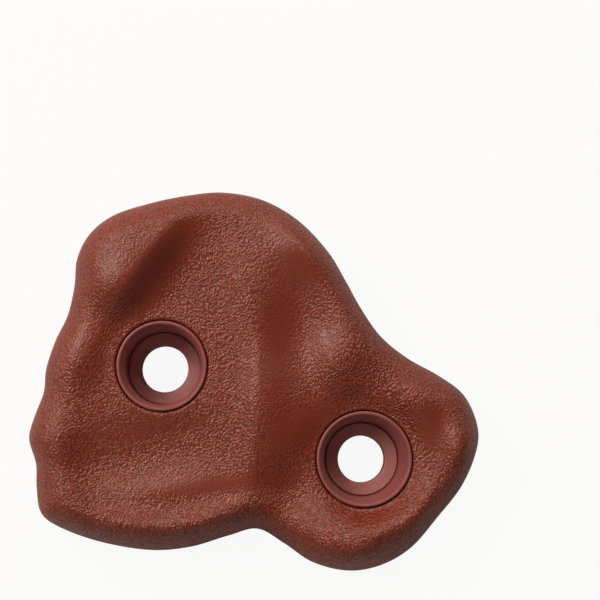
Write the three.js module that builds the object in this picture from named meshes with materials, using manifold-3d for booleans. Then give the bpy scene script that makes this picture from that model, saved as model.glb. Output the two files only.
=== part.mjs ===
// Climbing hold for a play wall: a grained, hollow-backed grip moulding with two lined bolt holes.
// It lies on its back, in millimetres: the wall plane is z = 0, the grip faces +Z,
// and the origin is under the middle of the outline.

import * as THREE from 'three';
import { mergeVertices } from 'three/addons/utils/BufferGeometryUtils.js';
import Module from 'manifold-3d';

const wasm = await Module();
wasm.setup();

// Overall sizes
const holdWidth = 115;
const holdHeight = 97;
const bodyLevel = 19.5;
const reliefRise = 10;

// Rounded rim of the grip
const footHeight = 2.5;
const rimReach = 8.5;
const rimPower = 2.3;

// Moulded walls, ribs and bosses of the grip shell
const shellWall = 3.2;
const ribThickness = 1.8;
const ribPitch = 12.6;
const ribRecess = 1;
const bossWall = 2.4;

// Bolt seats: a cup with a lip, and a washer on its floor
const boltBore = 12;
const cupFloorThickness = 4;
const cupWall = 0.9;
const lipThickness = 1.8;
const lipRimWidth = 0.4;
const lipEdgeRound = 0.4;
const lipProud = 0.5;
const washerThickness = 1.6;
const washerWidth = 3.05;
const fitClearance = 0.25;

// Flat collar and rounded crease of the skin round each lip
const collarWidth = 0.8;
const collarBlend = 6;
const creaseRound = 0.7;

// The two bolt holes, which differ in place, in height and in the width of their mouths
const leftHole = {
  name: 'left',
  placeShare: [-0.2, 0.03],
  lipDiameter: 22.4,
  throatDiameter: 19.2,
  collarLevel: 19.6,
};
const rightHole = {
  name: 'right',
  placeShare: [0.239, -0.208],
  lipDiameter: 23.8,
  throatDiameter: 20.6,
  collarLevel: 17.5,
};
const holes = [leftHole, rightHole];

// Extra depth that takes every cut clear of the face it starts from
const overrun = 3;
const clearTop = bodyLevel + reliefRise + overrun;

// Mesh fineness
const outlineSpokes = 128;
const rimSteps = 6;
const innerSteps = 15;
const cavitySpokes = 64;
const cavityRimSteps = 3;
const cavityInnerSteps = 8;
const turnSteps = 48;
const creaseSteps = 3;
const closingShare = 0.7;

// Outline seen from the front, clockwise from the top, as shares of the width and the height
const outlineShares = [
  [-0.070, 0.500], [0.019, 0.480], [0.099, 0.425], [0.166, 0.341], [0.206, 0.262],
  [0.239, 0.191], [0.283, 0.117], [0.343, 0.059], [0.414, 0.012], [0.468, -0.038],
  [0.497, -0.112], [0.497, -0.180], [0.463, -0.278], [0.406, -0.364], [0.348, -0.441],
  [0.281, -0.486], [0.208, -0.500], [0.130, -0.478], [0.068, -0.430], [0.008, -0.391],
  [-0.057, -0.409], [-0.141, -0.438], [-0.230, -0.446], [-0.337, -0.425], [-0.426, -0.388],
  [-0.470, -0.349], [-0.481, -0.280], [-0.483, -0.220], [-0.499, -0.154], [-0.486, -0.091],
  [-0.468, -0.033], [-0.463, 0.030], [-0.443, 0.104], [-0.417, 0.170], [-0.403, 0.246],
  [-0.397, 0.320], [-0.368, 0.386], [-0.314, 0.436], [-0.230, 0.470], [-0.150, 0.491],
];

// Ends of the line that the rings of the skin close in on, as shares of the width and the height
const spineShares = [[-0.15, 0.06], [0.23, -0.2]];

// Landforms of the grip, each a smooth swelling or hollow with its own heading:
// place across and up, spread along it and on its two sides (shares of the width), turn in degrees, rise
const landformShares = [
  { name: 'top left swell', at: [-0.238, 0.321], spread: [0.090, 0.041, 0.090], turn: -125, rise: 0.72 },
  { name: 'upper left knob', at: [-0.317, 0.227], spread: [0.038, 0.036, 0.036], turn: 0, rise: 0.22 },
  { name: 'upper left knuckle', at: [-0.379, 0.052], spread: [0.056, 0.034, 0.038], turn: -112, rise: 0.24 },
  { name: 'lower left knuckle', at: [-0.419, -0.161], spread: [0.047, 0.034, 0.038], turn: -100, rise: 0.24 },
  { name: 'lower left corner', at: [-0.400, -0.292], spread: [0.043, 0.030, 0.030], turn: -60, rise: 0.20 },
  { name: 'bottom ridge start', at: [-0.317, -0.371], spread: [0.085, 0.024, 0.038], turn: -10, rise: 0.18 },
  { name: 'bottom ridge', at: [-0.189, -0.384], spread: [0.085, 0.024, 0.038], turn: 0, rise: 0.20 },
  { name: 'bottom ridge end', at: [-0.067, -0.356], spread: [0.064, 0.024, 0.038], turn: 18, rise: 0.22 },
  { name: 'shelf edge', at: [-0.189, -0.282], spread: [0.111, 0.034, 0.026], turn: 8, rise: 0.10 },
  { name: 'lower groove', at: [-0.263, -0.211], spread: [0.098, 0.043, 0.034], turn: 6, rise: -0.14 },
  { name: 'upright ridge', at: [-0.003, 0.169], spread: [0.111, 0.043, 0.034], turn: -88, rise: 0.27 },
  { name: 'upright ridge foot', at: [0.006, -0.120], spread: [0.103, 0.047, 0.032], turn: -97, rise: 0.36 },
  { name: 'ridge valley', at: [0.100, 0.067], spread: [0.081, 0.038, 0.043], turn: -84, rise: -0.25 },
  { name: 'valley end', at: [0.095, -0.206], spread: [0.047, 0.047, 0.047], turn: 0, rise: -0.24 },
  { name: 'notch hollow', at: [0.061, -0.313], spread: [0.056, 0.056, 0.047], turn: -35, rise: -0.20 },
  { name: 'right shoulder', at: [0.100, 0.336], spread: [0.056, 0.051, 0.047], turn: -40, rise: 0.28 },
  { name: 'right rim', at: [0.196, 0.189], spread: [0.103, 0.060, 0.034], turn: -62, rise: 0.24 },
  { name: 'central mound', at: [0.164, 0.047], spread: [0.051, 0.051, 0.047], turn: -90, rise: 0.36 },
  { name: 'right basin', at: [0.249, -0.168], spread: [0.118, 0.096, 0.096], turn: 0, rise: -0.15 },
  { name: 'lobe top rim', at: [0.335, -0.049], spread: [0.060, 0.030, 0.034], turn: -27, rise: 0.40 },
  { name: 'lobe side rim', at: [0.459, -0.201], spread: [0.051, 0.026, 0.026], turn: -85, rise: 0.34 },
  { name: 'lobe hollow', at: [0.390, -0.247], spread: [0.043, 0.030, 0.028], turn: -75, rise: -0.12 },
  { name: 'lobe lower rim', at: [0.373, -0.338], spread: [0.064, 0.026, 0.021], turn: 52, rise: 0.22 },
  { name: 'lobe foot', at: [0.232, -0.424], spread: [0.094, 0.043, 0.094], turn: -135, rise: 0.50 },
];

// Colours and finishes
const plastic = (color, roughness) => new THREE.MeshStandardMaterial({ color, roughness, metalness: 0 });
const gripMaterial = () => plastic(0x753f34, 0.5);
const cupMaterial = () => plastic(0x6a4340, 0.4);
const washerMaterial = () => plastic(0x7d5149, 0.42);

const atShare = ([across, up]) => new THREE.Vector2(across * holdWidth, up * holdHeight);
const clampShare = (t) => Math.min(Math.max(t, 0), 1);

// Evenly spaced points of the smooth closed outline
function outlinePoints(count) {
  const corners = outlineShares.map((share) => new THREE.Vector3(...atShare(share)));
  const curve = new THREE.CatmullRomCurve3(corners, true, 'catmullrom');
  return curve.getSpacedPoints(count).slice(0, count).map((p) => new THREE.Vector2(p.x, p.y));
}

// The same points moved inwards, square to the outline
function insetOutline(count, inset) {
  return outlinePoints(count).map((point, i, all) => {
    const along = all[(i + 1) % count].clone().sub(all[(i + count - 1) % count]).normalize();
    return point.clone().addScaledVector(new THREE.Vector2(along.y, -along.x), inset);
  });
}

// Point of the stretch from start to end that lies nearest to a point
function nearestOnStretch(point, start, end) {
  const stretch = end.clone().sub(start);
  const along = clampShare(point.clone().sub(start).dot(stretch) / stretch.lengthSq());
  return start.clone().addScaledVector(stretch, along);
}

const outlineTrace = outlinePoints(4 * outlineSpokes);
const [spineStart, spineEnd] = spineShares.map((share) => atShare(share));
const nearestOnSpine = (point) => nearestOnStretch(point, spineStart, spineEnd);

// Shortest way from a point to the outline
function distanceToOutline(point) {
  const ways = outlineTrace.map((start, i) => {
    const end = outlineTrace[(i + 1) % outlineTrace.length];
    return nearestOnStretch(point, start, end).distanceTo(point);
  });
  return Math.min(...ways);
}

// Height that one landform adds at a point
function landformRise(form, point) {
  const turn = THREE.MathUtils.degToRad(form.turn);
  const offset = point.clone().sub(atShare(form.at)).rotateAround(new THREE.Vector2(), -turn);
  const [length, left, right] = form.spread.map((share) => share * holdWidth);
  const along = offset.x / length;
  const across = offset.y / (offset.y > 0 ? left : right);
  return form.rise * reliefRise * Math.exp(-(along * along + across * across) / 2);
}

// Height of the skin away from the rim, levelled to a flat collar round each bolt hole
function levelAt(point) {
  let level = bodyLevel;
  for (const form of landformShares) {
    level += landformRise(form, point);
  }
  for (const hole of holes) {
    const collarRadius = hole.lipDiameter / 2 + fitClearance + collarWidth;
    const away = point.distanceTo(atShare(hole.placeShare)) - collarRadius;
    const short = 1 - clampShare(away / collarBlend);
    level = THREE.MathUtils.lerp(hole.collarLevel, level, 1 - short * short);
  }
  return level;
}

// Height of the skin, or of a surface that runs inside it at the given inset
function surfaceHeight(point, inset, fromEdge) {
  const short = 1 - clampShare(fromEdge / rimReach);
  const round = (1 - short ** rimPower) ** (1 / rimPower);
  return footHeight + (levelAt(point) - inset - footHeight) * round;
}

// Band of triangles between two closed rings that start side by side, with the shorter diagonals
function stitchFaces(gap, low, high) {
  const lowAt = (step) => low[step % low.length];
  const highAt = (step) => high[step % high.length];
  const faces = [];
  let i = 0;
  let j = 0;
  while (i < low.length || j < high.length) {
    const lead = (i + 1) / low.length - (j + 1) / high.length;
    const isNear = Math.abs(lead) * low.length < 1;
    const isLowShorter = gap(lowAt(i + 1), highAt(j)) < gap(lowAt(i), highAt(j + 1));
    if (j === high.length || (i < low.length && (isNear ? isLowShorter : lead < 0))) {
      faces.push([lowAt(i), highAt(j), lowAt(i + 1)]);
      i += 1;
    } else {
      faces.push([lowAt(i), highAt(j), highAt(j + 1)]);
      j += 1;
    }
  }
  return faces;
}

// Triangles that close a narrow ring like a zip, starting at the given step, with the shorter rungs
function zipFaces(gap, ring, start) {
  const loop = [...ring.slice(start), ...ring.slice(0, start)];
  const faces = [];
  let front = 0;
  let back = loop.length - 1;
  while (back - front > 1) {
    if (gap(loop[front + 1], loop[back]) < gap(loop[front], loop[back - 1])) {
      faces.push([loop[front + 1], loop[front], loop[back]]);
      front += 1;
    } else {
      faces.push([loop[back - 1], loop[front], loop[back]]);
      back -= 1;
    }
  }
  return faces;
}

// Closed solid under the skin, or under a surface inside it, with vertical foot walls down to its floor
function domeGeometry({ inset, floor, spokes, rimRings, innerRings }) {
  const vertices = [];
  const rings = [];
  const addRing = (count, ringPoint) => {
    rings.push(insetOutline(count, inset).map((rim) => vertices.push(ringPoint(rim)) - 1));
  };
  const skinPoint = (point) => {
    const fromEdge = Math.max(distanceToOutline(point) - inset, 0);
    return [point.x, point.y, surfaceHeight(point, inset, fromEdge)];
  };
  const stepIn = (rim, distance) => {
    const middle = nearestOnSpine(rim);
    return rim.clone().lerp(middle, distance / rim.distanceTo(middle));
  };

  addRing(spokes, (rim) => [rim.x, rim.y, floor]);
  addRing(spokes, (rim) => [rim.x, rim.y, footHeight]);
  for (let ring = 1; ring <= rimRings; ring += 1) {
    const bend = 1 - Math.cos((ring / rimRings) * Math.PI / 2);
    addRing(spokes, (rim) => skinPoint(stepIn(rim, bend * rimReach)));
  }
  for (let ring = 1; ring < innerRings; ring += 1) {
    const way = ring / innerRings;
    const count = Math.ceil(spokes * (1 - way * closingShare));
    addRing(count, (rim) => skinPoint(stepIn(rim, rimReach).lerp(nearestOnSpine(rim), way)));
  }

  const vertexAt = (index) => new THREE.Vector3(...vertices[index]);
  const gap = (from, to) => vertexAt(from).distanceTo(vertexAt(to));
  const bands = rings.slice(1).flatMap((ring, i) => stitchFaces(gap, rings[i], ring));
  const foot = rings[0].map((index) => new THREE.Vector2(...vertices[index]));
  const bed = THREE.ShapeUtils.triangulateShape(foot, []).map((face) => face.toReversed());
  const crown = rings.at(-1);
  const spine = spineEnd.clone().sub(spineStart);
  const alongSpine = crown.map((index) => spine.dot(vertexAt(index)));
  const crownFaces = zipFaces(gap, crown, alongSpine.indexOf(Math.min(...alongSpine)));
  return indexedGeometry(vertices, [...bands, ...bed, ...crownFaces]);
}

function indexedGeometry(vertices, faces) {
  const geometry = new THREE.BufferGeometry();
  geometry.setAttribute('position', new THREE.Float32BufferAttribute(vertices.flat(), 3));
  geometry.setIndex(faces.flat());
  return geometry;
}

// Solid of revolution standing on a bolt hole's axis; the profile lists radius and height
function turnedGeometry(profile, hole) {
  const points = profile.map(([radius, height]) => new THREE.Vector2(radius, height));
  const geometry = new THREE.LatheGeometry(points, turnSteps);
  geometry.rotateX(Math.PI / 2);
  const centre = atShare(hole.placeShare);
  geometry.translate(centre.x, centre.y, 0);
  return geometry;
}

function toSolid(geometry) {
  const bare = geometry.clone();
  bare.deleteAttribute('normal');
  bare.deleteAttribute('uv');
  const merged = mergeVertices(bare);
  return new wasm.Manifold(new wasm.Mesh({
    numProp: 3,
    vertProperties: new Float32Array(merged.attributes.position.array),
    triVerts: new Uint32Array(merged.index.array),
  }));
}

function toGeometry(solid) {
  const mesh = solid.getMesh();
  const geometry = new THREE.BufferGeometry();
  geometry.setAttribute('position', new THREE.BufferAttribute(mesh.vertProperties, 3));
  geometry.setIndex(new THREE.BufferAttribute(mesh.triVerts, 1));
  geometry.computeVertexNormals();
  return geometry;
}

// Heights and radii that a cup, its washer and the shell's bore share
function seatSizes(hole) {
  const lipTop = hole.collarLevel + lipProud;
  const lipRadius = hole.lipDiameter / 2;
  const throatRadius = hole.throatDiameter / 2;
  const washerRadius = boltBore / 2 + washerWidth;
  const floorRadius = washerRadius + fitClearance;
  return {
    lipTop,
    lipUnder: lipTop - lipThickness,
    lipRadius,
    throatRadius,
    washerRadius,
    floorRadius,
    bodyTopRadius: throatRadius + cupWall,
    bodyBaseRadius: floorRadius + cupWall,
  };
}

// Middles of a row of ribs, evenly spread about the origin
function ribPlaces(span) {
  const count = Math.ceil(span / ribPitch);
  return Array.from({ length: count }, (_, i) => (i - (count - 1) / 2) * ribPitch);
}

// Ribs under the skin, in both directions
function ribSolids() {
  const depth = clearTop - ribRecess;
  const ribSolid = (width, length, x, y) => {
    const rib = new THREE.BoxGeometry(width, length, depth);
    rib.translate(x, y, ribRecess + depth / 2);
    return toSolid(rib);
  };
  const uprightRibs = ribPlaces(holdWidth).map((x) => ribSolid(ribThickness, holdHeight, x, 0));
  const levelRibs = ribPlaces(holdHeight).map((y) => ribSolid(holdWidth, ribThickness, 0, y));
  return [...uprightRibs, ...levelRibs];
}

// Solid boss under the skin that a bolt seat passes through
function bossSolid(hole) {
  const radius = seatSizes(hole).bodyTopRadius + fitClearance + bossWall;
  const profile = [[0, -overrun], [radius, -overrun], [radius, clearTop], [0, clearTop]];
  return toSolid(turnedGeometry(profile, hole));
}

// Cut for a bolt seat: the cup's body, a shelf under its lip and a rounded crease round the lip
function boreSolid(hole) {
  const seat = seatSizes(hole);
  const baseRadius = seat.bodyBaseRadius + fitClearance;
  const mouthRadius = seat.lipRadius + fitClearance;
  const crease = [];
  for (let step = 0; step <= creaseSteps; step += 1) {
    const turn = (step / creaseSteps) * Math.PI / 2;
    const out = creaseRound * (1 - Math.cos(turn));
    const down = creaseRound * (1 - Math.sin(turn));
    crease.push([mouthRadius + out, hole.collarLevel - down]);
  }
  return toSolid(turnedGeometry([
    [0, -overrun],
    [baseRadius, -overrun],
    [baseRadius, 0],
    [seat.bodyTopRadius + fitClearance, seat.lipUnder],
    [mouthRadius, seat.lipUnder],
    ...crease,
    [mouthRadius + creaseRound, clearTop],
    [0, clearTop],
  ], hole));
}

// Grip moulding: skin, rim, ribs and bosses in one piece
function gripShell() {
  const body = toSolid(domeGeometry({
    inset: 0,
    floor: 0,
    spokes: outlineSpokes,
    rimRings: rimSteps,
    innerRings: innerSteps,
  }));
  let hollow = toSolid(domeGeometry({
    inset: shellWall,
    floor: -overrun,
    spokes: cavitySpokes,
    rimRings: cavityRimSteps,
    innerRings: cavityInnerSteps,
  }));
  for (const solid of [...ribSolids(), ...holes.map(bossSolid)]) {
    hollow = hollow.subtract(solid);
  }
  let shell = body.subtract(hollow);
  for (const bore of holes.map(boreSolid)) {
    shell = shell.subtract(bore);
  }
  return toGeometry(shell);
}

// Tapered cup that carries the bolt load from its floor to the wall and clamps the shell under its lip
function boltSeatCup(hole) {
  const seat = seatSizes(hole);
  const boreRadius = boltBore / 2;
  const rimRadius = seat.lipRadius - lipEdgeRound;
  return turnedGeometry([
    [boreRadius, 0],
    [seat.bodyBaseRadius, 0],
    [seat.bodyTopRadius, seat.lipUnder],
    [seat.lipRadius, seat.lipUnder],
    [seat.lipRadius, seat.lipTop - lipEdgeRound],
    [rimRadius, seat.lipTop],
    [rimRadius - lipRimWidth, seat.lipTop],
    [seat.throatRadius, seat.lipUnder],
    [seat.floorRadius, cupFloorThickness],
    [boreRadius, cupFloorThickness],
    [boreRadius, 0],
  ], hole);
}

// Flat ring on the cup's floor, under the bolt's head
function seatWasher(hole) {
  const boreRadius = boltBore / 2;
  const outerRadius = seatSizes(hole).washerRadius;
  const washerTop = cupFloorThickness + washerThickness;
  return turnedGeometry([
    [boreRadius, cupFloorThickness],
    [outerRadius, cupFloorThickness],
    [outerRadius, washerTop],
    [boreRadius, washerTop],
    [boreRadius, cupFloorThickness],
  ], hole);
}

const climbingHold = new THREE.Group();

function addPiece(name, geometry, material) {
  const piece = new THREE.Mesh(geometry, material);
  piece.name = name;
  climbingHold.add(piece);
}

addPiece('grip_shell', gripShell(), gripMaterial());
for (const hole of holes) {
  addPiece(`bolt_seat_cup_${hole.name}`, boltSeatCup(hole), cupMaterial());
  addPiece(`seat_washer_${hole.name}`, seatWasher(hole), washerMaterial());
}

export default climbingHold;
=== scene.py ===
"""Climbing hold on its back on a pale floor: a grained grip moulding with two lined bolt holes.

Lengths are in metres and angles in degrees. The wall plane is z = 0 and the grip faces +Z.
"""

import math

import bmesh
import bpy
import numpy as np
from mathutils import Matrix, Vector


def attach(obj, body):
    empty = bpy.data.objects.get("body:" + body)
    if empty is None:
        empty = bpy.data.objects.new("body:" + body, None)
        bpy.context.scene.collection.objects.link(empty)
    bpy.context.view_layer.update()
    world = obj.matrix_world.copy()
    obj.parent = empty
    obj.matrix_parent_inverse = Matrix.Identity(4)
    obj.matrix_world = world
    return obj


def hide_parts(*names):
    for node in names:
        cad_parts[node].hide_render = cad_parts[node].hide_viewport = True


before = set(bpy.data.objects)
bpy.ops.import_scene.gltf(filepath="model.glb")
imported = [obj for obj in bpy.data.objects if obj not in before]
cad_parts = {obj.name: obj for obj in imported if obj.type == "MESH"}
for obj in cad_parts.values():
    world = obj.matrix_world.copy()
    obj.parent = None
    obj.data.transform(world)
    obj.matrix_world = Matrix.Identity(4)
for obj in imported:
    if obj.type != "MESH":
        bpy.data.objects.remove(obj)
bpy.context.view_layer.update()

# Overall sizes of the grip
HOLD_WIDTH = 0.115
HOLD_HEIGHT = 0.097
BODY_LEVEL = 0.0195
RELIEF_RISE = 0.010
FOOT_HEIGHT = 0.0025
FOOT_ROUND = 0.0004
RIM_REACH = 0.0085
RIM_POWER = 2.3

# Moulded walls, ribs and bosses behind the skin
SHELL_WALL = 0.0032
RIB_THICKNESS = 0.0018
RIB_PITCH = 0.0126
RIB_RECESS = 0.001
BOSS_WALL = 0.0024

# Bolt seats: a cup with a lip, and a washer on its floor
BOLT_BORE = 0.012
CUP_FLOOR_THICKNESS = 0.004
CUP_WALL = 0.0009
CUP_FLOOR_ROUND = 0.0004
LIP_THICKNESS = 0.0018
LIP_EDGE_ROUND = 0.0003
LIP_RIM_WIDTH = 0.0002
LIP_PROUD = 0.0003
WASHER_THICKNESS = 0.0016
WASHER_WIDTH = 0.00305
WASHER_DISH = 0.0008
WASHER_EDGE = 0.0003
RING_GAP = 0.00005
FIT_CLEARANCE = 0.00025

# Flat collar and rounded crease of the skin round each lip
COLLAR_WIDTH = 0.0008
COLLAR_BLEND = 0.006
CREASE_ROUND = 0.0007

# Directions along the rounded corners of a profile, from straight outwards
OUTWARDS = 0
UPWARDS = 90
DOWNWARDS = -90
INWARDS = 180
LIP_INNER_LEAN = 150

# The two bolt holes, which differ in place, in height and in the width of their mouths
HOLES = [
    {"name": "left", "place_share": (-0.2, 0.03), "lip": 0.0224, "throat": 0.0192, "collar": 0.0198},
    {"name": "right", "place_share": (0.239, -0.208), "lip": 0.0238, "throat": 0.0206, "collar": 0.0177},
]

# Extra depth that takes every cut clear of the face it starts from
OVERRUN = 0.003
CLEAR_TOP = BODY_LEVEL + 2 * RELIEF_RISE + OVERRUN

# Mesh fineness
SKIN_SPOKES = 600
SKIN_RIM_RINGS = 24
SKIN_INNER_RINGS = 110
CAVITY_SPOKES = 240
CAVITY_RIM_RINGS = 10
CAVITY_INNER_RINGS = 36
TRACE_POINTS = 480
TRACE_FINENESS = 40
TURN_STEPS = 160
ROUND_STEPS = 5
SHARP_ANGLE = 35
WELD_DISTANCE = 0.0000001

# Outline seen from the front, clockwise from the top, as shares of the width and the height
OUTLINE_SHARES = [
    (-0.070, 0.500), (0.019, 0.480), (0.099, 0.425), (0.166, 0.341), (0.206, 0.262),
    (0.239, 0.191), (0.283, 0.117), (0.343, 0.059), (0.414, 0.012), (0.468, -0.038),
    (0.497, -0.112), (0.497, -0.180), (0.463, -0.278), (0.406, -0.364), (0.348, -0.441),
    (0.281, -0.486), (0.208, -0.500), (0.130, -0.478), (0.068, -0.430), (0.008, -0.391),
    (-0.057, -0.409), (-0.141, -0.438), (-0.230, -0.446), (-0.337, -0.425), (-0.426, -0.388),
    (-0.470, -0.349), (-0.481, -0.280), (-0.483, -0.220), (-0.499, -0.154), (-0.486, -0.091),
    (-0.468, -0.033), (-0.463, 0.030), (-0.443, 0.104), (-0.417, 0.170), (-0.403, 0.246),
    (-0.397, 0.320), (-0.368, 0.386), (-0.314, 0.436), (-0.230, 0.470), (-0.150, 0.491),
]

# Point that the rings of the skin close in on, as shares of the width and the height
CROWN_SHARE = (-0.008, -0.022)

# Landforms: place across and up, length, width on the left and right, turn in degrees, rise
LANDFORM_SHARES = {
    "top left swell": (-0.236, 0.318, 0.090, 0.036, 0.120, -125, 0.64),
    "upper left knob": (-0.306, 0.229, 0.038, 0.036, 0.036, 0, 0.24),
    "upper left knuckle": (-0.379, 0.052, 0.056, 0.034, 0.038, -112, 0.24),
    "lower left knuckle": (-0.419, -0.161, 0.047, 0.034, 0.038, -100, 0.24),
    "lower left corner": (-0.400, -0.292, 0.043, 0.030, 0.030, -60, 0.20),
    "bottom ridge start": (-0.317, -0.371, 0.085, 0.024, 0.038, -10, 0.18),
    "bottom ridge": (-0.189, -0.384, 0.085, 0.024, 0.038, 0, 0.20),
    "bottom ridge end": (-0.067, -0.356, 0.064, 0.024, 0.038, 18, 0.22),
    "shelf edge": (-0.189, -0.282, 0.111, 0.034, 0.026, 8, 0.10),
    "lower groove": (-0.242, -0.211, 0.115, 0.056, 0.051, 8, -0.20),
    "middle swell": (-0.018, -0.016, 0.137, 0.077, 0.073, -90, 0.08),
    "upright ridge": (-0.014, 0.224, 0.068, 0.043, 0.024, -80, 0.19),
    "upright ridge foot": (0.012, -0.059, 0.115, 0.064, 0.026, -93, 0.27),
    "valley by the ridge": (0.100, 0.085, 0.073, 0.038, 0.056, -84, -0.22),
    "notch hollow": (0.087, -0.290, 0.051, 0.047, 0.051, 0, -0.30),
    "right shoulder": (0.095, 0.341, 0.056, 0.051, 0.043, -40, 0.26),
    "right rim": (0.196, 0.189, 0.103, 0.060, 0.038, -62, 0.24),
    "central mound": (0.177, 0.042, 0.047, 0.047, 0.038, -75, 0.30),
    "right basin": (0.254, -0.168, 0.118, 0.096, 0.096, 0, -0.18),
    "lobe top rim": (0.352, -0.064, 0.051, 0.043, 0.051, -10, 0.24),
    "lobe side rim": (0.454, -0.181, 0.043, 0.024, 0.030, -75, 0.30),
    "lobe hollow": (0.399, -0.232, 0.064, 0.026, 0.026, -80, -0.06),
    "lobe lower rim": (0.373, -0.338, 0.064, 0.026, 0.021, 52, 0.18),
    "lobe foot": (0.232, -0.424, 0.094, 0.043, 0.081, -135, 0.50),
}

# Worn or smooth zones, painted in a darker tone as shade: place across and up, length, width on the left and
# right, turn, part of the grain gone
WORN_ZONE_SHARES = {
    "swell shoulder": (-0.174, 0.351, 0.060, 0.032, 0.032, 50, 0.85),
    "swell band": (-0.238, 0.240, 0.056, 0.030, 0.030, 76, 0.85),
    "knob": (-0.310, 0.290, 0.051, 0.038, 0.038, 60, 0.50),
    "upper knuckle": (-0.379, 0.098, 0.043, 0.021, 0.021, 75, 0.40),
    "valley": (0.051, 0.085, 0.124, 0.034, 0.034, -92, 0.92),
    "valley foot": (0.104, -0.125, 0.068, 0.030, 0.030, 35, 0.92),
    "right rim": (0.100, 0.295, 0.064, 0.032, 0.032, -50, 0.85),
    "shelf": (-0.101, -0.272, 0.132, 0.019, 0.019, 3, 0.85),
    "groove": (-0.259, -0.130, 0.118, 0.047, 0.047, 10, 0.40),
    "left flat": (-0.336, 0.072, 0.064, 0.034, 0.034, -90, 0.35),
    "lobe": (0.386, -0.130, 0.047, 0.024, 0.024, -80, 0.85),
    "lobe foot": (0.271, -0.376, 0.043, 0.026, 0.026, 45, 0.45),
    "mound": (0.155, 0.103, 0.051, 0.028, 0.028, 65, 0.45),
    "lobe rim": (0.429, -0.145, 0.038, 0.017, 0.017, -80, 0.35),
}

# Pebbled grain of the grip, which lies within a thin depth under its skin
GRAIN_SCALE = 1600
GRAIN_SOFTNESS = 0.45
GRAIN_DRIFT_SCALE = 260
GRAIN_DRIFT_DETAIL = 1
GRAIN_DRIFT = 0.0026
GRAIN_DEPTH = 0.00022
GRAIN_TOP = 0.1
GRAIN_GROOVE = 0.75
GRAINED_DEPTH = 0.0004

# Finish of the grip, from the grooves of the grain to its tops: painted shade darkens the grooves and painted
# light brightens the tops
GRIP_GROOVE_SHADE = (0.130, 0.0120, 0.0035)
GRIP_TOP_LIT = (0.310, 0.040, 0.0135)
GRIP_ROUGHNESS = 0.3
GROOVE_ROUGHNESS = 0.5
GRIP_SPECULAR = 0.6
GRIP_SHEEN = (1.0, 0.94, 0.83)
# Tone of the worn zones between the groove and top colours, kept low as painted shade
WORN_SHADE_TONE = 0.36

# Finishes of the cup linings and the washers
CLOUD_SCALE = 60
CLOUD_DETAIL = 3
FINE_SCALE = 1500
FINE_DETAIL = 2
FINE_DEPTH = 0.00002
LINING_DARK = (0.25, 0.058, 0.048)
LINING_LIGHT = (0.31, 0.080, 0.066)
LINING_ROUGHNESS = 0.38
WASHER_DARK = (0.50, 0.170, 0.135)
WASHER_LIGHT = (0.60, 0.210, 0.170)
WASHER_ROUGHNESS = 0.4

# Camera above the hold, looking a little past its middle
CAMERA_PLACE = (0.00105, -0.01878, 0.44)
CAMERA_AIM = (0.01188, 0.0212, 0)
CAMERA_SENSOR = 36
CAMERA_LENS = 101.4

# Pale floor and plain sky
FLOOR_SIZE = 12
FLOOR_DROP = 0.0002
FLOOR_COLOUR = (0.68, 0.54, 0.48)
FLOOR_WHITE_SHARE = 0.93
FLOOR_ROUGHNESS = 0.9
WHITE = (1, 1, 1)
WHITE_STRENGTH = 1
MIRRORED_SHARE = 0.05
SKY_STRENGTH = 0.1
SKY_WALL_FOOT = 0.3
SKY_WALL_TOP = 0.5

# Soft lamps: heading round the hold, height above the floor, way off, size and power
LAMPS = [
    {"name": "key", "heading": 149, "height": 42, "distance": 1.0, "size": (0.6, 0.6), "power": 7.8},
    {"name": "fill", "heading": 78, "height": 36, "distance": 1.0, "size": (0.8, 0.5), "power": 4.9},
    {"name": "low fill", "heading": -95, "height": 38, "distance": 1.0, "size": (0.9, 0.6), "power": 0.8},
]


def at_share(share):
    """Place on the wall plane that a share of the hold's width and height stands for."""
    return np.array(share) * (HOLD_WIDTH, HOLD_HEIGHT)


def outline_points(count):
    """Evenly spaced points of the smooth closed outline."""
    corners = at_share(OUTLINE_SHARES)
    total = len(corners)
    step = np.arange(total * TRACE_FINENESS) / TRACE_FINENESS
    first = step.astype(int)
    way = (step - first)[:, None]
    before, start, end, after = (corners[(first + shift) % total] for shift in (-1, 0, 1, 2))
    bend = 2 * before - 5 * start + 4 * end - after
    twist = 3 * start - before - 3 * end + after
    curve = (2 * start + (end - before) * way + bend * way**2 + twist * way**3) / 2
    curve = np.vstack([curve, curve[:1]])
    run = np.concatenate([[0], np.cumsum(np.hypot(*np.diff(curve, axis=0).T))])
    marks = np.arange(count) / count * run[-1]
    return np.column_stack([np.interp(marks, run, curve[:, 0]), np.interp(marks, run, curve[:, 1])])


def inset_outline(count, inset):
    """The same points moved inwards, square to the outline."""
    points = outline_points(count)
    along = np.roll(points, -1, 0) - np.roll(points, 1, 0)
    along /= np.hypot(*along.T)[:, None]
    return points + np.column_stack([along[:, 1], -along[:, 0]]) * inset


OUTLINE_TRACE = outline_points(TRACE_POINTS)


def distance_to_outline(points):
    """Shortest way from each point to the outline."""
    nearest = np.full(len(points), np.inf)
    for start, end in zip(OUTLINE_TRACE, np.roll(OUTLINE_TRACE, -1, 0)):
        stretch = end - start
        along = np.clip((points - start) @ stretch / (stretch @ stretch), 0, 1)
        nearest = np.minimum(nearest, np.hypot(*(points - start - along[:, None] * stretch).T))
    return nearest


def felt_shares(points, forms):
    """Strength of each form with how much of it each point feels: 1 at its middle, fading to 0."""
    for across_place, up_place, length, left, right, turn, strength in forms.values():
        heading = math.radians(turn)
        offset = points - at_share((across_place, up_place))
        along = offset @ (math.cos(heading), math.sin(heading))
        across = offset @ (-math.sin(heading), math.cos(heading))
        side = np.where(across > 0, left, right)
        reach = (along / (length * HOLD_WIDTH)) ** 2 + (across / (side * HOLD_WIDTH)) ** 2
        yield strength, np.exp(-reach / 2)


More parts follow.
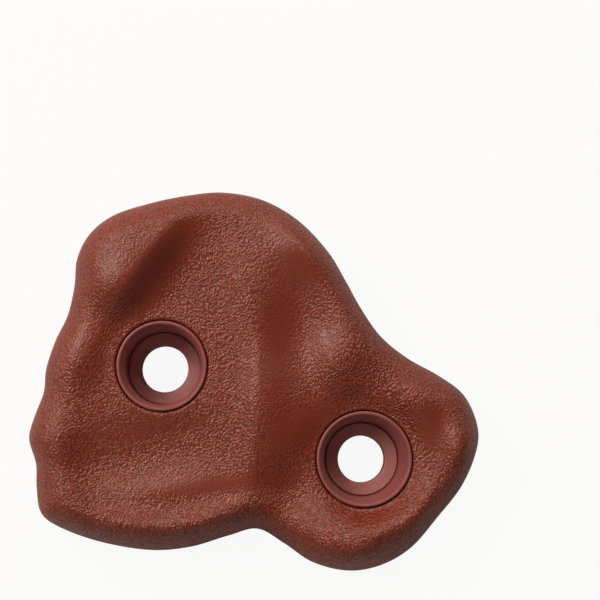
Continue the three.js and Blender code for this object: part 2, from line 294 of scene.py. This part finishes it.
def level_at(points):
    """Height of the skin away from the rim, levelled to a flat collar round each bolt hole."""
    level = np.full(len(points), BODY_LEVEL)
    for rise, felt in felt_shares(points, LANDFORM_SHARES):
        level += rise * RELIEF_RISE * felt
    for hole in HOLES:
        collar_radius = hole["lip"] / 2 + FIT_CLEARANCE + COLLAR_WIDTH
        away = np.hypot(*(points - at_share(hole["place_share"])).T) - collar_radius
        short = 1 - np.clip(away / COLLAR_BLEND, 0, 1)
        level = hole["collar"] + (level - hole["collar"]) * (1 - short**2)
    return level


def skin_height(points, inset):
    """Height of the skin, or of a surface that runs inside it at the given inset."""
    from_edge = np.maximum(distance_to_outline(points) - inset, 0)
    short = 1 - np.clip(from_edge / RIM_REACH, 0, 1)
    round_share = (1 - short**RIM_POWER) ** (1 / RIM_POWER)
    return FOOT_HEIGHT + (level_at(points) - inset - FOOT_HEIGHT) * round_share


def mesh_object(name, points, faces):
    """New piece made of points and the faces between them."""
    mesh = bpy.data.meshes.new(name)
    mesh.from_pydata(points.tolist(), [], faces)
    piece = bpy.data.objects.new(name, mesh)
    bpy.context.collection.objects.link(piece)
    return piece


def dome(name, inset, floor, foot_round, spokes, rim_rings, inner_rings):
    """Closed solid under the skin, or under a surface inside it, down to its floor."""
    crown = at_share(CROWN_SHARE)
    edge = inset_outline(spokes, inset)
    reach = np.hypot(*(edge - crown).T)[:, None]
    flat = np.ones(spokes)
    rings = [
        np.column_stack([inset_outline(spokes, inset + foot_round), flat * floor]),
        np.column_stack([edge, flat * (floor + foot_round)]),
        np.column_stack([edge, flat * FOOT_HEIGHT]),
    ]
    bends = 1 - np.cos(np.arange(1, rim_rings + 1) / rim_rings * math.pi / 2)
    steps = [bend * RIM_REACH / reach for bend in bends]
    rim = RIM_REACH / reach
    steps += [rim + (1 - rim) * ring / inner_rings for ring in range(1, inner_rings)]
    for step in steps:
        points = edge + (crown - edge) * step
        rings.append(np.column_stack([points, skin_height(points, inset)]))
    top = skin_height(crown[None], inset)[0]
    points = np.vstack([*rings, [*crown, top], [*crown, floor]])
    here = np.arange(spokes)
    there = np.roll(here, -1)
    faces = []
    for ring in range(len(rings) - 1):
        low = ring * spokes
        high = low + spokes
        faces += np.column_stack([low + here, high + here, high + there, low + there]).tolist()
    top_point, floor_point = len(points) - 2, len(points) - 1
    last = (len(rings) - 1) * spokes
    faces += [[last + i, top_point, last + j] for i, j in zip(here.tolist(), there.tolist())]
    faces += [[j, floor_point, i] for i, j in zip(here.tolist(), there.tolist())]
    return mesh_object(name, points, faces)


def turned(name, profile, hole):
    """Solid of revolution on a bolt hole's axis; the profile lists radius and height."""
    centre = at_share(hole["place_share"])
    turns = np.arange(TURN_STEPS) / TURN_STEPS * 2 * math.pi
    radius, height = np.array(profile).T
    points = np.stack([
        centre[0] + np.outer(np.cos(turns), radius),
        centre[1] + np.outer(np.sin(turns), radius),
        np.broadcast_to(height, (TURN_STEPS, len(height))),
    ], axis=-1).reshape(-1, 3)
    count = len(profile)
    faces = []
    for turn in range(TURN_STEPS):
        here = turn * count
        there = (turn + 1) % TURN_STEPS * count
        for low in range(count):
            high = (low + 1) % count
            faces.append([here + low, there + low, there + high, here + high])
    piece = mesh_object(name, points, faces)
    edit = bmesh.new()
    edit.from_mesh(piece.data)
    bmesh.ops.remove_doubles(edit, verts=edit.verts, dist=WELD_DISTANCE)
    bmesh.ops.recalc_face_normals(edit, faces=edit.faces)
    edit.to_mesh(piece.data)
    edit.free()
    return piece


def block(name, width, length, low, high, x, y):
    """Upright box on its own middle."""
    piece = mesh_object(name, np.zeros((0, 3)), [])
    edit = bmesh.new()
    place = Matrix.Translation((x, y, (low + high) / 2)) @ Matrix.Diagonal((width, length, high - low, 1))
    bmesh.ops.create_cube(edit, size=1, matrix=place)
    edit.to_mesh(piece.data)
    edit.free()
    return piece


def cut(piece, tool):
    """Cuts the piece with the tool and removes the tool."""
    change = piece.modifiers.new("cut", "BOOLEAN")
    change.object = tool
    change.operation = "DIFFERENCE"
    change.solver = "MANIFOLD"
    seen = piece.evaluated_get(bpy.context.evaluated_depsgraph_get())
    piece.data = bpy.data.meshes.new_from_object(seen)
    piece.modifiers.clear()
    bpy.data.objects.remove(tool)


def round_corner(centre_radius, centre_height, size, start, end):
    """Points of a rounded corner of a profile, from one direction to another."""
    turns = np.radians(np.linspace(start, end, ROUND_STEPS))
    return [(centre_radius + size * math.cos(turn), centre_height + size * math.sin(turn)) for turn in turns]


def seat_sizes(hole):
    """Heights and radii that a cup, its washer and the shell's bore share."""
    top = hole["collar"] + LIP_PROUD
    floor_radius = BOLT_BORE / 2 + WASHER_WIDTH + FIT_CLEARANCE
    return {
        "lip_top": top,
        "lip_under": top - LIP_THICKNESS,
        "lip_radius": hole["lip"] / 2,
        "throat_radius": hole["throat"] / 2,
        "floor_radius": floor_radius,
        "body_top_radius": hole["throat"] / 2 + CUP_WALL,
        "body_base_radius": floor_radius + CUP_WALL,
    }


def rib_places(span):
    """Places of the ribs across a span, evenly to both sides of its middle."""
    count = math.ceil(span / RIB_PITCH)
    return [(i - (count - 1) / 2) * RIB_PITCH for i in range(count)]


def hollow_of_shell():
    """The space behind the skin, less its ribs and bosses."""
    hollow = dome("hollow", SHELL_WALL, -OVERRUN, 0, CAVITY_SPOKES, CAVITY_RIM_RINGS, CAVITY_INNER_RINGS)
    for x in rib_places(HOLD_WIDTH):
        cut(hollow, block("rib", RIB_THICKNESS, HOLD_HEIGHT, RIB_RECESS, CLEAR_TOP, x, 0))
    for y in rib_places(HOLD_HEIGHT):
        cut(hollow, block("rib", HOLD_WIDTH, RIB_THICKNESS, RIB_RECESS, CLEAR_TOP, 0, y))
    foot = -2 * OVERRUN
    for hole in HOLES:
        radius = seat_sizes(hole)["body_top_radius"] + FIT_CLEARANCE + BOSS_WALL
        cut(hollow, turned("boss", [(0, foot), (radius, foot), (radius, CLEAR_TOP), (0, CLEAR_TOP)], hole))
    return hollow


def bore(hole):
    """Cut for a bolt seat: the cup's body, a shelf under its lip and a rounded crease round the lip."""
    seat = seat_sizes(hole)
    mouth = seat["lip_radius"] + FIT_CLEARANCE
    base = seat["body_base_radius"] + FIT_CLEARANCE
    crease_low = hole["collar"] - CREASE_ROUND
    return turned("bore", [
        (0, -OVERRUN),
        (base, -OVERRUN),
        (base, 0),
        (seat["body_top_radius"] + FIT_CLEARANCE, seat["lip_under"]),
        (mouth, seat["lip_under"]),
        *round_corner(mouth + CREASE_ROUND, crease_low, CREASE_ROUND, INWARDS, UPWARDS),
        (mouth + CREASE_ROUND, CLEAR_TOP),
        (0, CLEAR_TOP),
    ], hole)


def grip_skin():
    """Grip moulding: skin, rim, ribs and bosses in one piece."""
    skin = dome("grip_skin", 0, 0, FOOT_ROUND, SKIN_SPOKES, SKIN_RIM_RINGS, SKIN_INNER_RINGS)
    cut(skin, hollow_of_shell())
    for hole in HOLES:
        cut(skin, bore(hole))
    return skin


def cup_lining(hole):
    """Tapered cup with a thin rounded lip."""
    seat = seat_sizes(hole)
    inner = BOLT_BORE / 2
    lip_middle = seat["lip_radius"] - LIP_EDGE_ROUND
    lip_low = seat["lip_top"] - LIP_EDGE_ROUND
    corner = seat["floor_radius"] - CUP_FLOOR_ROUND
    corner_low = CUP_FLOOR_THICKNESS + CUP_FLOOR_ROUND
    return turned(f"cup_lining_{hole['name']}", [
        (inner, 0),
        (seat["body_base_radius"], 0),
        (seat["body_top_radius"], seat["lip_under"]),
        (seat["lip_radius"], seat["lip_under"]),
        *round_corner(lip_middle, lip_low, LIP_EDGE_ROUND, OUTWARDS, UPWARDS),
        *round_corner(lip_middle - LIP_RIM_WIDTH, lip_low, LIP_EDGE_ROUND, UPWARDS, LIP_INNER_LEAN),
        (seat["throat_radius"], seat["lip_under"]),
        *round_corner(corner, corner_low, CUP_FLOOR_ROUND, OUTWARDS, DOWNWARDS),
        (inner, CUP_FLOOR_THICKNESS),
    ], hole)


def washer_ring(hole):
    """Ring on the cup's floor, dished towards the bolt, with softened edges."""
    inner = BOLT_BORE / 2
    outer = seat_sizes(hole)["floor_radius"] - RING_GAP
    outer_low = CUP_FLOOR_THICKNESS + WASHER_THICKNESS - WASHER_EDGE
    inner_low = outer_low - WASHER_DISH
    return turned(f"washer_ring_{hole['name']}", [
        (inner, CUP_FLOOR_THICKNESS),
        (outer, CUP_FLOOR_THICKNESS),
        *round_corner(outer - WASHER_EDGE, outer_low, WASHER_EDGE, OUTWARDS, UPWARDS),
        *round_corner(inner + WASHER_EDGE, inner_low, WASHER_EDGE, UPWARDS, INWARDS),
    ], hole)


def smooth_by_angle(piece):
    """Smooth shading that keeps the sharp edges."""
    edit = bmesh.new()
    edit.from_mesh(piece.data)
    for face in edit.faces:
        face.smooth = True
    for edge in edit.edges:
        edge.smooth = len(edge.link_faces) == 2 and edge.calc_face_angle(0) < math.radians(SHARP_ANGLE)
    edit.to_mesh(piece.data)
    edit.free()


def mesh_points(piece):
    """All the points of a piece's mesh, one to a row."""
    points = np.empty(3 * len(piece.data.vertices))
    piece.data.vertices.foreach_get("co", points)
    return points.reshape(-1, 3)


def grain_share(points):
    """How coarse the grain is at each point of the skin: none behind it, little in the worn zones. The same
    share sets how far the painted groove shade reaches and where the worn zones' painted shade takes over.
    """
    flat = points[:, :2]
    share = np.ones(len(points))
    for worn, felt in felt_shares(flat, WORN_ZONE_SHARES):
        share *= 1 - worn * felt
    depth = skin_height(flat, 0) - points[:, 2]
    return share * (depth < GRAINED_DEPTH)


def store_share(piece, name, shares):
    """Keeps a share for each point on the piece's mesh, for its material to read."""
    layer = piece.data.attributes.new(name, "FLOAT", "POINT")
    layer.data.foreach_set("value", shares.astype(np.float32))


class Shader:
    """Short ways to add and join the nodes of a material or of the sky."""

    def __init__(self, owner, surface="Principled BSDF"):
        owner.use_nodes = True
        self.tree = owner.node_tree
        self.surface = self.tree.nodes[surface].inputs

    def add(self, kind, **settings):
        node = self.tree.nodes.new(f"ShaderNode{kind}")
        for name, value in settings.items():
            setattr(node, name, value)
        return node

    def put(self, value, socket):
        """Joins another node's output to the socket, or sets the socket to a plain value."""
        if isinstance(value, bpy.types.NodeSocket):
            self.tree.links.new(value, socket)
        else:
            socket.default_value = value

    def shares(self, name):
        return self.add("Attribute", attribute_name=name).outputs["Fac"]

    def coordinates(self, kind="Object"):
        return self.add("TexCoord").outputs[kind]

    def noise(self, scale, detail, at):
        node = self.add("TexNoise")
        self.put(scale, node.inputs["Scale"])
        self.put(detail, node.inputs["Detail"])
        self.put(at, node.inputs["Vector"])
        return node.outputs

    def pushed(self, at, scale, detail, reach):
        """Coordinates pushed about by a coarser noise."""
        move = self.add("VectorMath", operation="MULTIPLY_ADD")
        self.put(self.noise(scale, detail, at)["Color"], move.inputs[0])
        self.put((reach, reach, reach), move.inputs[1])
        self.put(at, move.inputs[2])
        return move.outputs["Vector"]

    def cells(self, scale, smoothness, at):
        node = self.add("TexVoronoi", feature="SMOOTH_F1")
        self.put(scale, node.inputs["Scale"])
        self.put(smoothness, node.inputs["Smoothness"])
        self.put(at, node.inputs["Vector"])
        return node.outputs["Distance"]

    def maths(self, operation, first, second):
        node = self.add("Math", operation=operation)
        self.put(first, node.inputs[0])
        self.put(second, node.inputs[1])
        return node.outputs["Value"]

    def between(self, share, low, high, first, second):
        """A value that runs from first to second as the share runs from low to high."""
        node = self.add("MapRange")
        for name, value in {"From Min": low, "From Max": high, "To Min": first, "To Max": second}.items():
            self.put(value, node.inputs[name])
        self.put(share, node.inputs["Value"])
        return node.outputs["Result"]

    def blend(self, share, first, second):
        """A colour that runs from first to second with the share."""
        node = self.add("Mix", data_type="RGBA")
        self.put((*first, 1), node.inputs["A"])
        self.put((*second, 1), node.inputs["B"])
        self.put(share, node.inputs["Factor"])
        return node.outputs["Result"]

    def bump(self, height, distance, strength=1.0):
        node = self.add("Bump")
        self.put(distance, node.inputs["Distance"])
        self.put(strength, node.inputs["Strength"])
        self.put(height, node.inputs["Height"])
        self.put(node.outputs["Normal"], self.surface["Normal"])

    def seen_share(self):
        """Part of the white background that a ray shows: all to the eye, less in a mirrored or bent view."""
        path = self.add("LightPath").outputs
        bounced = self.maths("MAXIMUM", path["Is Glossy Ray"], path["Is Transmission Ray"])
        return self.maths("MAXIMUM", path["Is Camera Ray"], self.maths("MULTIPLY", bounced, MIRRORED_SHARE))


def grip_material():
    """Red-brown moulded plastic with a pebbled grain that fades out in the worn zones, with painted shade in
    the grooves, painted light on the tops and a darker painted shade over the worn zones.
    """
    material = bpy.data.materials.new("grip_plastic")
    shader = Shader(material)
    at = shader.pushed(shader.coordinates(), GRAIN_DRIFT_SCALE, GRAIN_DRIFT_DETAIL, GRAIN_DRIFT)
    cells = shader.cells(GRAIN_SCALE, GRAIN_SOFTNESS, at)
    grain = shader.shares("grain")
    # The cells' height paints shade into the grooves and light onto the tops of the grain, and also drives
    # the bump
    raised = shader.between(cells, GRAIN_GROOVE, GRAIN_TOP, -WORN_SHADE_TONE, 1 - WORN_SHADE_TONE)
    # Where the grain is gone, the colour settles at the worn zones' painted shade tone
    shade_tone = shader.maths("ADD", shader.maths("MULTIPLY", raised, grain), WORN_SHADE_TONE)
    # Base colour runs from the painted groove shade to the painted lit tops
    shader.put(shader.blend(shade_tone, GRIP_GROOVE_SHADE, GRIP_TOP_LIT), shader.surface["Base Color"])
    shader.put(shader.between(shade_tone, 0, 1, GROOVE_ROUGHNESS, GRIP_ROUGHNESS), shader.surface["Roughness"])
    shader.put(GRIP_SPECULAR, shader.surface["Specular IOR Level"])
    shader.put((*GRIP_SHEEN, 1), shader.surface["Specular Tint"])
    shader.bump(raised, GRAIN_DEPTH, grain)
    return material


def cloudy_material(name, dark, light, roughness):
    """Smooth moulded plastic, a little cloudy in colour, with a faint fine tooth."""
    material = bpy.data.materials.new(name)
    shader = Shader(material)
    at = shader.coordinates()
    clouds = shader.noise(CLOUD_SCALE, CLOUD_DETAIL, at)["Fac"]
    shader.put(shader.blend(clouds, dark, light), shader.surface["Base Color"])
    shader.put(roughness, shader.surface["Roughness"])
    shader.bump(shader.noise(FINE_SCALE, FINE_DETAIL, at)["Fac"], FINE_DEPTH)
    return material


def lining_material():
    """Purplish moulded lining."""
    return cloudy_material("lining_plastic", LINING_DARK, LINING_LIGHT, LINING_ROUGHNESS)


def washer_material():
    """Paler ring with a dull rubbed face."""
    return cloudy_material("washer_plastic", WASHER_DARK, WASHER_LIGHT, WASHER_ROUGHNESS)


def finish_piece(piece, material, slot, *nodes):
    """Gives a piece its finish and smooth shading, puts it under the root body and hides the model's nodes
    that it stands for. The slot is not used.
    """
    piece.data.materials.clear()
    piece.data.materials.append(material)
    smooth_by_angle(piece)
    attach(piece, "root")
    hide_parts(*nodes)


def floor_material():
    """Pale paper that takes the hold's shadow and is nearly white to look at."""
    material = bpy.data.materials.new("floor_paper")
    shader = Shader(material)
    shader.put((*FLOOR_COLOUR, 1), shader.surface["Base Color"])
    shader.put(FLOOR_ROUGHNESS, shader.surface["Roughness"])
    mix = shader.add("MixShader")
    shader.put(shader.maths("MULTIPLY", shader.seen_share(), FLOOR_WHITE_SHARE), mix.inputs["Fac"])
    shader.put(shader.tree.nodes["Principled BSDF"].outputs["BSDF"], mix.inputs[1])
    shader.put(shader.add("Emission").outputs["Emission"], mix.inputs[2])
    shader.put(mix.outputs["Shader"], shader.tree.nodes["Material Output"].inputs["Surface"])
    return material


def studio_floor():
    """Wide floor just under the wall plane."""
    half = FLOOR_SIZE / 2
    corners = [(-half, -half), (half, -half), (half, half), (-half, half)]
    points = np.array([(*corner, -FLOOR_DROP) for corner in corners])
    floor = mesh_object("floor", points, [[0, 1, 2, 3]])
    floor.data.materials.append(floor_material())


def studio_sky():
    """Plain dim sky that is white where the eye looks at it near the floor."""
    world = bpy.data.worlds.new("studio")
    bpy.context.scene.world = world
    shader = Shader(world, "Background")
    direction = shader.add("SeparateXYZ")
    shader.put(shader.coordinates("Generated"), direction.inputs["Vector"])
    low = shader.between(direction.outputs["Z"], SKY_WALL_TOP, SKY_WALL_FOOT, 0, 1)
    wall = shader.maths("MULTIPLY", shader.seen_share(), low)
    shader.put((*WHITE, 1), shader.surface["Color"])
    shader.put(shader.between(wall, 0, 1, SKY_STRENGTH, WHITE_STRENGTH), shader.surface["Strength"])


def studio_lamp(lamp):
    """Rectangular lamp that faces the hold."""
    heading = math.radians(lamp["heading"])
    height = math.radians(lamp["height"])
    level = math.cos(height)
    way = Vector((level * math.cos(heading), level * math.sin(heading), math.sin(height)))
    light = bpy.data.lights.new(lamp["name"], "AREA")
    light.shape = "RECTANGLE"
    light.size, light.size_y = lamp["size"]
    light.energy = lamp["power"]
    piece = bpy.data.objects.new(lamp["name"], light)
    bpy.context.collection.objects.link(piece)
    piece.location = way * lamp["distance"]
    piece.rotation_euler = way.to_track_quat("Z", "Y").to_euler()


def photo_camera():
    """Camera straight above the hold's lower half, tipped a little, with +Y up in the picture."""
    data = bpy.data.cameras.new("photo_camera")
    data.sensor_width = CAMERA_SENSOR
    data.lens = CAMERA_LENS
    camera = bpy.data.objects.new("photo_camera", data)
    bpy.context.collection.objects.link(camera)
    place = Vector(CAMERA_PLACE)
    back = (place - Vector(CAMERA_AIM)).normalized()
    right = Vector((0, 1, 0)).cross(back).normalized()
    turn = Matrix((right, back.cross(right), back)).transposed()
    camera.matrix_world = Matrix.Translation(place) @ turn.to_4x4()
    bpy.context.scene.camera = camera


skin = grip_skin()
# The grain share also carries where painted shade falls on the skin
store_share(skin, "grain", grain_share(mesh_points(skin)))
finish_piece(skin, grip_material(), "grip", "grip_shell")
lining = lining_material()
ring = washer_material()
for hole in HOLES:
    finish_piece(cup_lining(hole), lining, "cup", f"bolt_seat_cup_{hole['name']}")
    finish_piece(washer_ring(hole), ring, "washer", f"seat_washer_{hole['name']}")

studio_floor()
studio_sky()
for lamp in LAMPS:
    studio_lamp(lamp)
photo_camera()
bpy.context.scene.view_settings.view_transform = "Standard"
